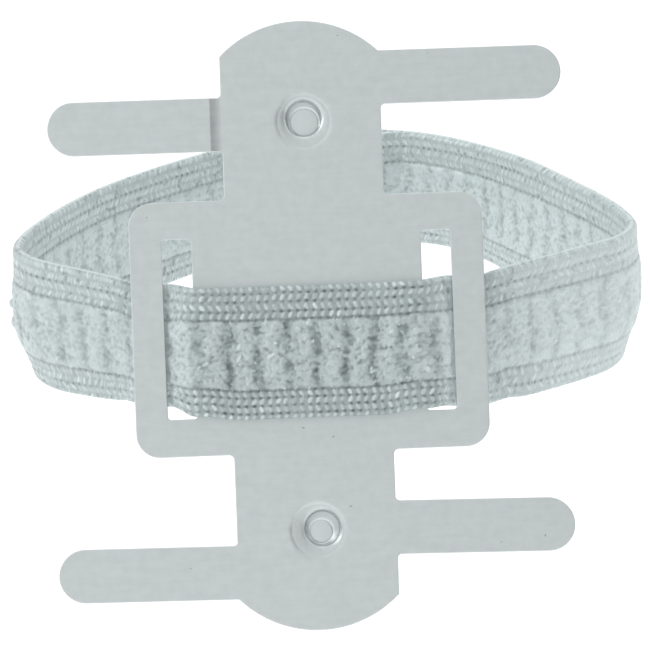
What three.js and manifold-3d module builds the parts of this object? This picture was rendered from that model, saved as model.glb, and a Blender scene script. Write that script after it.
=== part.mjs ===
// Wrist strap for earthing a person: an elastic silver-thread band threaded through a stamped
// steel buckle plate that carries two press studs and four bend-over tabs.
// Millimetres, +Z along the wrist. The origin is the middle of the wrist opening, at the band's
// mid-height and in line with the buckle's centre. The buckle is at the front, towards -Y.

import * as THREE from 'three';
import { mergeVertices } from 'three/addons/utils/BufferGeometryUtils.js';
import Module from 'manifold-3d';

// ---------------------------------------------------------------- driving dimensions

const BAND = {
  width: 16,
  thickness: 1.4,
  cutGap: 0.3, // between two solids of the one woven band
  gridStep: 2.2, // along the band, between rings of vertices
  fineStep: 0.8, // the same, where the band bends through the slots
};

const PLATE = {
  thickness: 0.5,
  width: 41.6,
  height: 30,
  cornerRadius: 2.8,
  neckWidth: 18.8,
  neckFillet: 0.6,
  lobeRadius: 13.25,
  lobeHeight: 22.5, // centre of the lobe's round end, above the plate's centre
  slotWidth: 3.5,
  slotHeight: 21.2,
  slotRadius: 0.4,
  slotInnerEdge: 13.5, // half the width of the bridge between the slots
};

const TAB = {
  width: 6.3,
  tip: 30.4, // from the plate's centre line
  innerHeight: 24.1,
  outerHeight: 28.75,
  bendGap: 0.3, // slit at the bend line, so that the tab can turn a right angle
};

const SNAP = {
  height: 24.05, // above the plate's centre
  dishRadius: 3.3,
  dishFootRadius: 2.3,
  dishDepth: 0.95,
  sides: 36,
};

const FRONT_Y = -31; // plane of the plate at the band's mid-height
const LEAN = THREE.MathUtils.degToRad(21); // the plate's top leans back, over the wrist
const PLATE_RAISE = 3.1; // plate centre above the band's mid-height, along the plate

// The band's middle line seen along the wrist, from the front centre to the right, round the back
// and home. It lies in front of the bridge, dips through both slots and runs behind the side bars.
const LOOP_POINTS = [
  [0, -32.2],
  [8, -32.2],
  [13.1, -32.35],
  [15.25, -31.05],
  [17.2, -29.5],
  [21.5, -27.2],
  [27, -24.1],
  [33, -20.4],
  [37.6, -17.1],
  [39.5, -13],
  [38.7, -7],
  [35.5, 1.4],
  [29.6, 12.6],
  [22.6, 23.2],
  [14.2, 29.5],
  [4.5, 31.2],
  [-5, 28.9],
  [-13.3, 23.1],
  [-21.6, 15],
  [-27.4, 7.4],
  [-32.2, -2],
  [-34.7, -9.5],
  [-34.8, -13.8],
  [-32.4, -17.8],
  [-27.5, -21.4],
  [-21.5, -25.6],
  [-17.2, -29.4],
  [-15.25, -31.05],
  [-13.1, -32.35],
  [-8, -32.2],
];

const LEAN_FULL = 18; // the band lies along the plate up to here, measured along the band
const LEAN_NONE = 26; // and stands straight from here on
const PINCH = { narrowing: 0.07, lift: 0.25, start: 8, full: 13, hold: 18.5, end: 28 }; // in the slots
const FLARE = 0.9; // the top rim stands out this much at the sides, and the bottom rim in
const FLARE_START = 26;
const FLARE_FULL = 42;
const FLARE_END = 80;

// Stations along the band from the front centre: positive to the right, negative to the left.
const RUN_END = 22.6; // the run that the buckle carries ends behind the side bars
const CORNER_END = 54;
const SIDE_END = 84;
const LAP_RIGHT = 97; // end of the inner layer, right of the middle of the back
const LAP_LENGTH = 19;
const LAP_RAMP = 7; // over which the inner layer steps inwards
const LAP_STEP = BAND.thickness + BAND.cutGap;

const STITCH = {
  pitch: 2,
  height: 9,
  thread: 0.4,
  lift: 0.12, // clear of the cloth
  margin: 3.5, // from both ends of the lap
};

// ---------------------------------------------------------------- materials

const steel = new THREE.MeshStandardMaterial({ color: 0xc3c9c8, roughness: 0.42, metalness: 0.9 });
const studMetal = new THREE.MeshStandardMaterial({ color: 0xccd0cf, roughness: 0.3, metalness: 0.95 });
const cloth = new THREE.MeshStandardMaterial({ color: 0xb9c4c5, roughness: 0.75, metalness: 0.15 });
const thread = new THREE.MeshStandardMaterial({ color: 0xd2d8d8, roughness: 0.8, metalness: 0 });

// ---------------------------------------------------------------- solid helpers

const manifold = await Module();
manifold.setup();

function toSolid(geometry) {
  const bare = geometry.clone();
  bare.deleteAttribute('normal');
  bare.deleteAttribute('uv');
  const merged = mergeVertices(bare, 1e-5);
  return new manifold.Manifold(
    new manifold.Mesh({
      numProp: 3,
      vertProperties: new Float32Array(merged.attributes.position.array),
      triVerts: new Uint32Array(merged.index.array),
    }),
  );
}

function toGeometry(solid) {
  const mesh = solid.getMesh();
  const geometry = new THREE.BufferGeometry();
  geometry.setAttribute('position', new THREE.BufferAttribute(mesh.vertProperties, 3));
  geometry.setIndex(new THREE.BufferAttribute(mesh.triVerts, 1));
  geometry.computeVertexNormals();
  return geometry;
}

function named(name, geometry, material) {
  const mesh = new THREE.Mesh(geometry, material);
  mesh.name = name;
  return mesh;
}

// ---------------------------------------------------------------- the band's path

const loop = new THREE.CatmullRomCurve3(
  LOOP_POINTS.map(([x, y]) => new THREE.Vector3(x, y, 0)),
  true,
  'centripetal',
);
loop.arcLengthDivisions = 1200;
const LOOP_LENGTH = loop.getLength();

function shareOfLoop(station) {
  return (((station / LOOP_LENGTH) % 1) + 1) % 1;
}

function tangentAt(station) {
  return loop.getTangentAt(shareOfLoop(station));
}

// How far the band leans with the plate at a station: 1 along the plate, 0 when it stands straight.
function leanShare(station) {
  return 1 - THREE.MathUtils.smoothstep(Math.abs(station), LEAN_FULL, LEAN_NONE);
}

// The slots are shorter than the band is wide at its lower edge, so they squeeze it.
function pinchShare(station) {
  const along = Math.abs(station);
  const rise = THREE.MathUtils.smoothstep(along, PINCH.start, PINCH.full);
  const fall = THREE.MathUtils.smoothstep(along, PINCH.hold, PINCH.end);
  return rise - fall;
}

function flareShare(station) {
  const along = Math.abs(station);
  const rise = THREE.MathUtils.smoothstep(along, FLARE_START, FLARE_FULL);
  const fall = THREE.MathUtils.smoothstep(along, FLARE_FULL, FLARE_END);
  return rise - fall;
}

// Takes a point of the flat band to its place on the loop: station along the band, distance out
// from the band's middle surface, and height.
function placeOnLoop(station, out, height) {
  const point = loop.getPointAt(shareOfLoop(station));
  const along = tangentAt(station);
  const outward = new THREE.Vector3(along.y, -along.x, 0);
  const flare = (FLARE * flareShare(station) * height) / (BAND.width / 2);
  point.addScaledVector(outward, out + flare);
  const pinch = pinchShare(station);
  point.z = height * (1 - PINCH.narrowing * pinch) + PINCH.lift * pinch;
  point.y -= FRONT_Y;
  point.applyAxisAngle(new THREE.Vector3(1, 0, 0), -LEAN * leanShare(station));
  point.y += FRONT_Y;
  return point;
}

// Wraps a geometry laid out flat (x station, y towards the wrist, z height) onto the loop. step
// gives an extra distance outwards at each station.
function wrap(geometry, step = () => 0) {
  const position = geometry.attributes.position;
  for (let i = 0; i < position.count; i += 1) {
    const station = position.getX(i);
    const point = placeOnLoop(station, step(station) - position.getY(i), position.getZ(i));
    position.setXYZ(i, point.x, point.y, point.z);
  }
  geometry.computeVertexNormals();
  return geometry;
}

// A length of band. across lists the ends that are cut in a plane across X, as the ends of the
// buckle's run are, so that rocking the buckle slides them past the corners.
function bandPiece(name, from, to, { across = [], step, spacing = BAND.gridStep } = {}) {
  const length = to - from;
  const rings = Math.ceil(length / spacing);
  const flat = new THREE.BoxGeometry(length, BAND.thickness, BAND.width, rings, 1, 1);
  flat.translate((from + to) / 2, 0, 0);
  const position = flat.attributes.position;
  for (let i = 0; i < position.count; i += 1) {
    const station = position.getX(i);
    if (across.some((end) => Math.abs(end - station) < 1e-4)) {
      const along = tangentAt(station);
      position.setX(i, station + (position.getY(i) * along.y) / along.x);
    }
  }
  return named(name, wrap(flat, step), cloth);
}

// ---------------------------------------------------------------- band

// The left half's end is the inner layer of the lap: it steps inwards to pass behind the right
// half's end.
function lapStep(station) {
  const rampStart = LAP_RIGHT + LAP_LENGTH;
  return -LAP_STEP * (1 - THREE.MathUtils.smoothstep(station, rampStart, rampStart + LAP_RAMP));
}

function makeBand() {
  const half = BAND.cutGap / 2;
  const runEnd = RUN_END - half;
  const cornerStart = RUN_END + half;
  const leftSideEnd = LOOP_LENGTH - SIDE_END;
  return [
    bandPiece('band_front_run', -runEnd, runEnd, {
      across: [-runEnd, runEnd],
      spacing: BAND.fineStep,
    }),
    bandPiece('band_corner_right', cornerStart, CORNER_END - half, { across: [cornerStart] }),
    bandPiece('band_corner_left', -CORNER_END + half, -cornerStart, { across: [-cornerStart] }),
    bandPiece('band_side_right', CORNER_END + half, SIDE_END - half),
    bandPiece('band_side_left', -SIDE_END + half, -CORNER_END - half),
    bandPiece('band_back_right', SIDE_END + half, LAP_RIGHT + LAP_LENGTH),
    bandPiece('band_back_left', LAP_RIGHT, leftSideEnd - half, { step: lapStep }),
  ];
}

// One zigzag row of thread, laid on a face of the lap.
function zigzagStitch(name, side) {
  const from = LAP_RIGHT + STITCH.margin;
  const to = LAP_RIGHT + LAP_LENGTH - STITCH.margin;
  const turns = Math.round((to - from) / STITCH.pitch);
  const pitch = (to - from) / turns;
  const half = STITCH.height / 2;
  const rise = (STITCH.thread / 2) * Math.hypot(1, STITCH.height / pitch); // along the height
  const upper = [];
  const lower = [];
  for (let i = 0; i <= turns; i += 1) {
    const x = from + i * pitch;
    const z = i % 2 === 0 ? -half : half;
    upper.unshift(new THREE.Vector2(x, z + rise));
    lower.push(new THREE.Vector2(x, z - rise));
  }
  const flat = new THREE.ExtrudeGeometry(new THREE.Shape([...lower, ...upper]), {
    depth: STITCH.thread / 2,
    bevelEnabled: false,
  });
  flat.rotateX(Math.PI / 2);
  const skin = BAND.thickness / 2 + STITCH.lift;
  flat.translate(0, side > 0 ? -skin : LAP_STEP + skin + STITCH.thread / 2, 0);
  return named(name, wrap(flat), thread);
}

// ---------------------------------------------------------------- buckle plate

// Half of the plate's outline, from the right-hand bar up and over one lobe to the left-hand bar.
// turn is 0 for the upper half, or half a turn for the lower one, which is the same shape.
function traceHalf(shape, turn) {
  const sign = turn === 0 ? 1 : -1;
  const right = PLATE.width / 2;
  const top = PLATE.height / 2;
  const neck = PLATE.neckWidth / 2;
  const corner = PLATE.cornerRadius;
  const fillet = PLATE.neckFillet;
  const radius = PLATE.lobeRadius;
  const middle = PLATE.lobeHeight;
  const shoulder = Math.acos(neck / radius);
  const line = (x, y) => shape.lineTo(sign * x, sign * y);
  const arc = (x, y, r, a, b, clockwise) =>
    shape.absarc(sign * x, sign * y, r, a + turn, b + turn, clockwise);
  line(right, top - corner);
  arc(right - corner, top - corner, corner, 0, Math.PI / 2, false);
  line(neck + fillet, top);
  arc(neck + fillet, top + fillet, fillet, -Math.PI / 2, -Math.PI, true);
  arc(0, middle, radius, shoulder, Math.PI - shoulder, false);
  line(-neck, top + fillet);
  arc(-neck - fillet, top + fillet, fillet, 0, -Math.PI / 2, true);
  line(-right + corner, top);
  arc(-right + corner, top - corner, corner, Math.PI / 2, Math.PI, false);
}

function slotPath(side) {
  const low = PLATE.slotInnerEdge;
  const high = low + PLATE.slotWidth;
  const centreX = (side * (low + high)) / 2;
  const x = PLATE.slotWidth / 2 - PLATE.slotRadius;
  const y = PLATE.slotHeight / 2 - PLATE.slotRadius;
  const path = new THREE.Path();
  path.absarc(centreX + x, y, PLATE.slotRadius, 0, Math.PI / 2, false);
  path.absarc(centreX - x, y, PLATE.slotRadius, Math.PI / 2, Math.PI, false);
  path.absarc(centreX - x, -y, PLATE.slotRadius, Math.PI, Math.PI * 1.5, false);
  path.absarc(centreX + x, -y, PLATE.slotRadius, Math.PI * 1.5, Math.PI * 2, false);
  path.closePath();
  return path;
}

// Stands a shape drawn in x and height up as sheet, centred on its middle plane.
function sheetOf(shape, curveSegments) {
  const geometry = new THREE.ExtrudeGeometry(shape, {
    depth: PLATE.thickness,
    bevelEnabled: false,
    curveSegments,
  });
  geometry.rotateX(Math.PI / 2);
  geometry.translate(0, PLATE.thickness / 2, 0);
  return geometry;
}

// A turned part on the plate's normal: radius and distance in front of the plate's middle plane.
function turned(profile, centreZ) {
  const points = profile.map(([radius, front]) => new THREE.Vector2(radius, front));
  const geometry = new THREE.LatheGeometry(points, SNAP.sides);
  geometry.rotateX(Math.PI);
  geometry.translate(0, 0, centreZ);
  return geometry;
}

// The pressed dish round each stud: the sheet slopes back to a hole for the stud's barrel.
function dish(centreZ) {
  const face = PLATE.thickness / 2;
  const rim = SNAP.dishRadius;
  const foot = SNAP.dishFootRadius;
  const depth = SNAP.dishDepth;
  const joint = 0.35; // the ring of sheet that the dish shares with the plate
  return turned(
    [
      [foot, face - depth],
      [foot, -face - depth],
      [rim + 0.15, -face],
      [rim + joint, -face],
      [rim + joint, face],
      [rim, face],
      [foot, face - depth],
    ],
    centreZ,
  );
}

function makePlate() {
  const outline = new THREE.Shape();
  outline.moveTo(PLATE.width / 2, 0);
  traceHalf(outline, 0);
  traceHalf(outline, Math.PI);
  outline.closePath();
  outline.holes.push(slotPath(1), slotPath(-1));
  for (const side of [1, -1]) {
    const hole = new THREE.Path();
    hole.absarc(0, side * SNAP.height, SNAP.dishRadius + 0.1, 0, Math.PI * 2, false);
    outline.holes.push(hole);
  }
  const blank = toSolid(sheetOf(outline, 18));
  const upper = toSolid(dish(SNAP.height));
  const lower = toSolid(dish(-SNAP.height));
  return named('buckle_plate', toGeometry(blank.add(upper).add(lower)), steel);
}

// ---------------------------------------------------------------- tabs

// A tab with a round end, pointing right (side 1) or left (side -1).
function makeTab(name, side, centreZ) {
  const root = PLATE.neckWidth / 2 + TAB.bendGap;
  const radius = TAB.width / 2;
  const end = TAB.tip - radius;
  const shape = new THREE.Shape();
  shape.moveTo(root, -radius);
  shape.lineTo(end, -radius);
  shape.absarc(end, 0, radius, -Math.PI / 2, Math.PI / 2, false);
  shape.lineTo(root, radius);
  shape.closePath();
  const geometry = sheetOf(shape, 16);
  if (side < 0) geometry.rotateY(Math.PI);
  geometry.translate(0, 0, centreZ);
  return named(name, geometry, steel);
}

// ---------------------------------------------------------------- press studs

// A drawn hollow stud: its cup opens forwards, its flange sits in the dish and its head stands
// out behind the plate.
function makeStud(name, centreZ) {
  const profile = [
    [0, -2.5],
    [1.45, -2.5],
    [1.62, -2.3],
    [1.85, -0.5],
    [2.65, 0.1],
    [2.8, -0.02],
    [2.1, -0.62],
    [2.05, -2.4],
    [2.2, -2.75],
    [2.2, -3.3],
    [1.95, -3.6],
    [0, -3.6],
  ];
  return named(name, turned(profile.reverse(), centreZ), studMetal);
}

// The ring that is pressed over the barrel from behind and clamps the stud.
function makeRing(name, centreZ) {
  const profile = [
    [2.35, -1.35],
    [2.35, -1.85],
    [3.3, -1.85],
    [3.45, -1.7],
    [3.45, -1.35],
    [2.35, -1.35],
  ];
  return named(name, turned(profile, centreZ), studMetal);
}

// ---------------------------------------------------------------- assembly

const strap = new THREE.Group();
strap.add(...makeBand());
strap.add(zigzagStitch('lap_stitch_inner', -1));
strap.add(zigzagStitch('lap_stitch_outer', 1));

const buckle = new THREE.Group();
buckle.position.set(0, FRONT_Y, 0);
buckle.rotation.x = -LEAN;

const face = new THREE.Group(); // everything placed from the plate's own centre
face.position.z = PLATE_RAISE;
face.add(makePlate());
face.add(makeTab('tab_upper_left', -1, TAB.innerHeight));
face.add(makeTab('tab_upper_right', 1, TAB.outerHeight));
face.add(makeTab('tab_lower_left', -1, -TAB.outerHeight));
face.add(makeTab('tab_lower_right', 1, -TAB.innerHeight));
face.add(makeStud('snap_stud_upper', SNAP.height));
face.add(makeStud('snap_stud_lower', -SNAP.height));
face.add(makeRing('snap_ring_upper', SNAP.height));
face.add(makeRing('snap_ring_lower', -SNAP.height));
buckle.add(face);
strap.add(buckle);
strap.updateMatrixWorld(true);

export default strap;
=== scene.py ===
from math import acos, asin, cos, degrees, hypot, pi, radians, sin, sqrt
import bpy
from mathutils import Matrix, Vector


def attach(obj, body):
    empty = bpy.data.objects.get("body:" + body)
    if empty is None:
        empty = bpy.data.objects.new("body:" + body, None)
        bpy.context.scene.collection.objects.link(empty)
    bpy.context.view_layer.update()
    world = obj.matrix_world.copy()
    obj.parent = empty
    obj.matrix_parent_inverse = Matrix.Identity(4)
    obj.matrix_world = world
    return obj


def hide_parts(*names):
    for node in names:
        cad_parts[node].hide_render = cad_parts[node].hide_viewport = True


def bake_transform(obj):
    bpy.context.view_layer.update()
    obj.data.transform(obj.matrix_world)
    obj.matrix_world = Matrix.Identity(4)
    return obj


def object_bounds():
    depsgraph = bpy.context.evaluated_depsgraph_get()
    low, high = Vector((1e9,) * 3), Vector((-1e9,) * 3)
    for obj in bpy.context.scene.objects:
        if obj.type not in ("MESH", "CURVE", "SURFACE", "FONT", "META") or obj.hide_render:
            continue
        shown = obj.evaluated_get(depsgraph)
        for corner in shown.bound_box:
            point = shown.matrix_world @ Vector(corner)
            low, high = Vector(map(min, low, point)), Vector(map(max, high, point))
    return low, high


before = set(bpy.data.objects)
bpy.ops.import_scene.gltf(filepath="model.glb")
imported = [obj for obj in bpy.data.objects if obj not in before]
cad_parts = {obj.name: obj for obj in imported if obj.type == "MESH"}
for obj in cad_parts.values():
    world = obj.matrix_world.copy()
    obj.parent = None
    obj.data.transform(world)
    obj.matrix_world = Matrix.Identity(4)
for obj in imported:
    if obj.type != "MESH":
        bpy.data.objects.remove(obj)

# Earthing wrist strap: a woven silver-thread band through a stamped steel buckle with two press
# studs and four bend-over tabs. Dimensions below are millimetres; everything made is in metres.

from types import SimpleNamespace as Group

import bmesh
import bpy
import numpy as np
from mathutils import Matrix, Vector
from mathutils.geometry import delaunay_2d_cdt

CAD_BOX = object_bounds()
MM = 0.001

# ---------- driving dimensions

# The buckle's frame: x to the right, up along the plate from its centre, front out of its face.
FRONT_Y = -31.0
LEAN = radians(21)
PLATE_RAISE = 3.1

PLATE = Group(thickness=0.5, width=41.6, height=30.0, corner=2.8, neck=18.8, fillet=0.6,
              lobe_radius=13.25, edge=0.08, support=0.15)
HALF_SHEET, PLATE_RIGHT, PLATE_TOP = PLATE.thickness / 2, PLATE.width / 2, PLATE.height / 2
NECK = PLATE.neck / 2
LOBE_UP = {1: 22.5, -1: 22.7}
SNAP_PLACE = {1: (0.25, 23.9), -1: (0.15, -24.2)}
SLOT = Group(inner=13.5, width=3.5, height=21.2, corner=0.4)
TAB = Group(width=6.3, tip=30.4, fillet=0.5, bend=0.9)
INNER_UP, OUTER_UP = {1: 23.88, -1: 24.2}, {1: 28.8, -1: 28.85}
# The tabs: side, level, slope up the plate going outwards, and how much further the tip reaches.
TABS = {"tab_upper_left": (-1, 1, 0.006, -0.5), "tab_upper_right": (1, 1, -0.004, 0.3),
        "tab_lower_left": (-1, -1, 0.013, 0.1), "tab_lower_right": (1, -1, -0.017, 0.0)}
# The upper left tab's step forwards, and how it falls back towards the plate beyond that.
JOGGLE = Group(start=9.4, end=10.75, rise=0.34, sharpness=1.6, tilt=-0.012)

BAND = Group(width=16.4, thickness=1.1, front_width=15.35, widens=(20, 40))
STEP_ALONG = 0.1
COLUMNS = 240
LOOP_POINTS = [
    (0, -32.2), (8, -32.2), (13.1, -32.35), (15.25, -31.05), (17.2, -29.5), (21.5, -27.2),
    (27, -24.1), (33, -20.4), (37.6, -17.1), (39.5, -13), (38.7, -7), (35.5, 1.4), (29.6, 12.6),
    (22.6, 23.2), (14.2, 29.5), (4.5, 31.2), (-5, 28.9), (-13.3, 23.1), (-21.6, 15), (-27.4, 7.4),
    (-32.2, -2), (-34.7, -9.5), (-34.8, -13.8), (-32.4, -17.8), (-27.5, -21.4), (-21.5, -25.6),
    (-17.2, -29.4), (-15.25, -31.05), (-13.1, -32.35), (-8, -32.2),
]
LEAN_FULL, LEAN_NONE = 18.0, 26.0
# Swells along the band: each rises from start to full, holds, and is gone by end. The pinch narrows it
# in the slots, the tucks lift its lower rim there, the belly bulges the sides and draws their lower
# rim in, and the droops let the lower rim sag beside the bars.
PINCH = Group(narrowing=0.035, lift=0.3, start=8.0, full=13.0, hold=18.5, end=28.0)
TUCKS = (Group(side=-1, lift=1.3, start=13.4, full=17.3, hold=18.5, end=27.0),
         Group(side=1, lift=0.2, start=13.5, full=16.5, hold=18.5, end=27.0))
BELLY = Group(out=1.0, tuck=1.9, tucked=(0.15, 1.1), top=0.4, start=24.0, full=42.0, hold=56.0,
              end=84.0)
DROOPS = (Group(side=-1, drop=0.7, start=20.0, full=36.0, hold=56.0, end=80.0),
          Group(side=1, drop=1.4, start=15.0, full=29.0, hold=36.0, end=60.0))
DROOP_SHARES = (0.2, 1.0)
# Small rises of the upper and the lower rim about a station: in the slots, and at the back right.
RISES = (Group(at=-17.3, reach=5.0, upper=0.75, lower=0.0),
         Group(at=17.3, reach=5.0, upper=0.5, lower=0.0),
         Group(at=75.0, reach=12.0, upper=0.4, lower=0.0),
         Group(at=91.0, reach=14.0, upper=0.0, lower=0.65))
# A rim's rises and tucks fade in between these distances from the band's middle line.
RIM_HEIGHTS = (1.0, 8.0)
# Where the band's pieces meet, by length from the middle of the front, and the lap at the back.
RUN_END, CORNER_END, SIDE_END = 20.0, 54.0, 84.0
LAP_START, LAP_LENGTH, LAP_RAMP, LAP_STEP = 97.2, 19.0, 7.0, 1.5
LAP_FEATHER = Group(length=5.0, press=0.15, step=0.5)

# The weave: chains of slanted stitches in the borders, a looped pile between them.
STITCH_PITCH = 0.94
ROW_FROM_RIM = (0.53, 1.62, 2.82, 3.87)
LOWER_BORDER = 0.86
PILE_TOP, PILE_BOTTOM = 4.15, -4.75
RIB_PITCH = 3.45


def smoothstep(value, low, high):
    share = np.clip((value - low) / (high - low), 0, 1)
    return share * share * (3 - 2 * share)


def wrapped(value, period):
    """A value brought to within half a period of zero."""
    return np.mod(value + period / 2, period) - period / 2


def unit(vectors):
    return vectors / np.linalg.norm(vectors, axis=-1, keepdims=True)


# ---------- places

def on_plate(x, up, front=0.0):
    """A point given in the buckle's own frame, in the shared frame and in millimetres."""
    rise = PLATE_RAISE + up
    y = FRONT_Y + rise * sin(LEAN) - front * cos(LEAN)
    z = rise * cos(LEAN) + front * sin(LEAN)
    return np.stack(np.broadcast_arrays(x, y, z), axis=-1)


def loop_table():
    """The band's middle line as a centripetal Catmull-Rom loop, by length along it."""
    points = np.array(LOOP_POINTS, float)
    share = np.linspace(0, 1, 64, endpoint=False)[:, None]
    pieces = []
    for i in range(len(points)):
        p0, p1, p2, p3 = (points[(i + k) % len(points)] for k in (-1, 0, 1, 2))
        d0, d1, d2 = (sqrt(np.linalg.norm(b - a)) for a, b in ((p0, p1), (p1, p2), (p2, p3)))
        t1 = ((p1 - p0) / d0 - (p2 - p0) / (d0 + d1) + (p2 - p1) / d1) * d1
        t2 = ((p2 - p1) / d1 - (p3 - p1) / (d1 + d2) + (p3 - p2) / d2) * d1
        cubic = (-3 * p1 + 3 * p2 - 2 * t1 - t2, 2 * p1 - 2 * p2 + t1 + t2)
        pieces.append(p1 + t1 * share + cubic[0] * share ** 2 + cubic[1] * share ** 3)
    path = np.vstack(pieces + [points[:1]])
    along = np.concatenate([[0], np.cumsum(np.linalg.norm(np.diff(path, axis=0), axis=1))])
    return along, path


LOOP_ALONG, LOOP_PATH = loop_table()
LOOP_LENGTH = LOOP_ALONG[-1]


def loop_point(station):
    station = np.mod(station, LOOP_LENGTH)
    return np.stack([np.interp(station, LOOP_ALONG, LOOP_PATH[:, k]) for k in (0, 1)], axis=-1)


def from_front(station):
    """The length along the band from the middle of its front, less than zero to the left."""
    return wrapped(station, LOOP_LENGTH)


def swell(value, shape):
    """Rises from start to full, holds, and falls away again by end."""
    rise = smoothstep(value, shape.start, shape.full)
    return rise - smoothstep(value, shape.hold, shape.end)


def place_on_loop(station, out, height):
    """Takes a point of the flat band to its place on the loop."""
    centred = from_front(station)
    reach = np.abs(centred)
    tangent = unit(loop_point(station + STEP_ALONG / 2) - loop_point(station - STEP_ALONG / 2))
    share = 2 * height / BAND.width
    flare = BELLY.out - BELLY.tuck * smoothstep(-share, *BELLY.tucked)
    flare = (flare - BELLY.top * smoothstep(share, 0.0, 1.0)) * swell(reach, BELLY)
    narrow = (1 - BAND.front_width / BAND.width) * (1 - smoothstep(reach, *BAND.widens))
    height = height * (1 - narrow)
    for droop in DROOPS:
        low = smoothstep(-share, *DROOP_SHARES) * (np.sign(centred) == droop.side)
        height = height - droop.drop * swell(reach, droop) * low
    pinch = swell(reach, PINCH)
    for tuck in TUCKS:
        low = smoothstep(-height, *RIM_HEIGHTS) * (np.sign(centred) == tuck.side)
        height = height + tuck.lift * swell(reach, tuck) * low
    for rise in RISES:
        near = 1 - smoothstep(np.abs(centred - rise.at), 0, rise.reach)
        up, down = (smoothstep(h, *RIM_HEIGHTS) for h in (height, -height))
        height = height + near * (rise.upper * up + rise.lower * down)
    middle = loop_point(station)
    x = middle[..., 0] + tangent[..., 1] * (out + flare)
    y = middle[..., 1] - tangent[..., 0] * (out + flare) - FRONT_Y
    z = height * (1 - PINCH.narrowing * pinch) + PINCH.lift * pinch
    lean = -LEAN * (1 - smoothstep(reach, LEAN_FULL, LEAN_NONE))
    return np.stack([x, y * np.cos(lean) - z * np.sin(lean) + FRONT_Y,
                     y * np.sin(lean) + z * np.cos(lean)], axis=-1)


# ---------- camera, stage and light

CAMERA = Group(distance=300.0, lens=141.2, sensor=36, roll=radians(2.2), aim_up=0.2,
               right=-1.882, top=0.235)
# A tent of light with one darker side, and how squarely a direction faces that side when it darkens.
TENT_COLOUR = (0.97, 0.99, 1.0, 1)
TENT_LIGHT, DARK_LIGHT = 0.885, 0.22
DARK_SIDE, DARK_SHARES = (0.80, -0.60, 0.10), (0.68, 1.0)
# The soft lights: place, size and power, in metres and watts.
LIGHTS = {"key_left": ((-0.65, -0.15, 0.35), 0.45, 1.25), "fill_right": ((0.65, -0.05, 0.30), 0.5, 0.6),
          "top": ((0.0, 0.15, 0.75), 0.6, 0.8)}
FLOOR = Group(radius=3, corners=64, drop=0.035, colour=(0.9, 0.9, 0.9, 1), roughness=0.9, glow=0.22)


def in_scene(name, data):
    thing = bpy.data.objects.new(name, data)
    bpy.context.scene.collection.objects.link(thing)
    return thing


def make_camera():
    level_up = Vector((0, sin(LEAN), cos(LEAN)))
    back = Vector((0, -cos(LEAN), sin(LEAN)))
    right = Vector((1, 0, 0)) * cos(CAMERA.roll) - level_up * sin(CAMERA.roll)
    top = level_up * cos(CAMERA.roll) + Vector((1, 0, 0)) * sin(CAMERA.roll)
    place = Vector(on_plate(0, CAMERA.aim_up)) + back * CAMERA.distance
    place -= right * CAMERA.right + top * CAMERA.top
    camera = in_scene("camera", bpy.data.cameras.new("camera"))
    camera.data.lens = CAMERA.lens
    camera.data.sensor_width = CAMERA.sensor
    turn = Matrix((right, top, back)).transposed().to_4x4()
    camera.matrix_world = Matrix.Translation(place * MM) @ turn
    bpy.context.scene.camera = camera


def make_stage():
    scene = bpy.context.scene
    scene.view_settings.view_transform = "Standard"
    scene.world = bpy.data.worlds.new("studio")
    n = Nodes(scene.world, "Background")
    toward = n.add("VectorMath", {"operation": "DOT_PRODUCT"})
    n.plug(toward.inputs[0], n.add("TexCoord").outputs["Generated"])
    n.plug(toward.inputs[1], Vector(DARK_SIDE).normalized())
    light = n.spread(toward.outputs["Value"], *DARK_SHARES, TENT_LIGHT, DARK_LIGHT, "SMOOTHSTEP")
    n.surface(Color=TENT_COLOUR, Strength=light)
    for name, (place, size, power) in LIGHTS.items():
        lamp = in_scene(name, bpy.data.lights.new(name, "AREA"))
        lamp.data.shape = "DISK"
        lamp.data.size = size
        lamp.data.energy = power
        lamp.location = place
        lamp.rotation_euler = (-Vector(place)).to_track_quat("-Z", "Y").to_euler()
    floor_mesh = bpy.data.meshes.new("floor")
    ring = [(FLOOR.radius * cos(a), FLOOR.radius * sin(a), 0)
            for a in np.linspace(0, 2 * pi, FLOOR.corners, endpoint=False)]
    floor_mesh.from_pydata(ring, [], [list(range(len(ring)))])
    floor = in_scene("floor", floor_mesh)
    floor.location.z = CAD_BOX[0].z - FLOOR.drop
    floor_mesh.materials.append(Nodes(bpy.data.materials.new("paper")).surface(
        Base_Color=FLOOR.colour, Roughness=FLOOR.roughness, Emission_Color=(1, 1, 1, 1),
        Emission_Strength=FLOOR.glow))


# ---------- materials

STEEL = Group(dark=(0.605, 0.64, 0.635, 1), pale=(0.655, 0.69, 0.685, 1), pit=(0.34, 0.36, 0.36, 1),
              roughness=(0.36, 0.46), pit_levels=(0.90, 0.915))
# In CUP, the wall colour is painted shade inside the cup and the disc colour is painted light on the
# cup's floor.
CUP = Group(dark=(0.59, 0.625, 0.62, 1), pale=(0.64, 0.675, 0.67, 1), wall=(0.36, 0.40, 0.41, 1),
            disc=(0.70, 0.735, 0.73, 1), roughness=(0.40, 0.48))
# Heights in the stud: where the cup's disc ends, where the painted shade on its wall starts, and where
# that shade fades out towards the mouth.
LIT_DISC_LEVELS, SHADED_WALL_LEVELS, MOUTH_LEVELS = (-0.79, -0.74), (-0.78, -0.66), (-0.32, -0.14)
# WEAVE's hollow colour is the painted shade of the weave's hollows and furrows.
WEAVE = Group(dark=(0.25, 0.295, 0.295, 1), pale=(0.72, 0.795, 0.80, 1), fibre=(0.32, 0.37, 0.37, 1),
              hollow=(0.10, 0.125, 0.12, 1), roughness=(0.62, 0.42), metal=0.25, sheen=0.15)
THREAD = Group(dark=(0.52, 0.56, 0.56, 1), pale=(0.74, 0.77, 0.77, 1), roughness=0.7, sheen=0.2)


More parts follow.
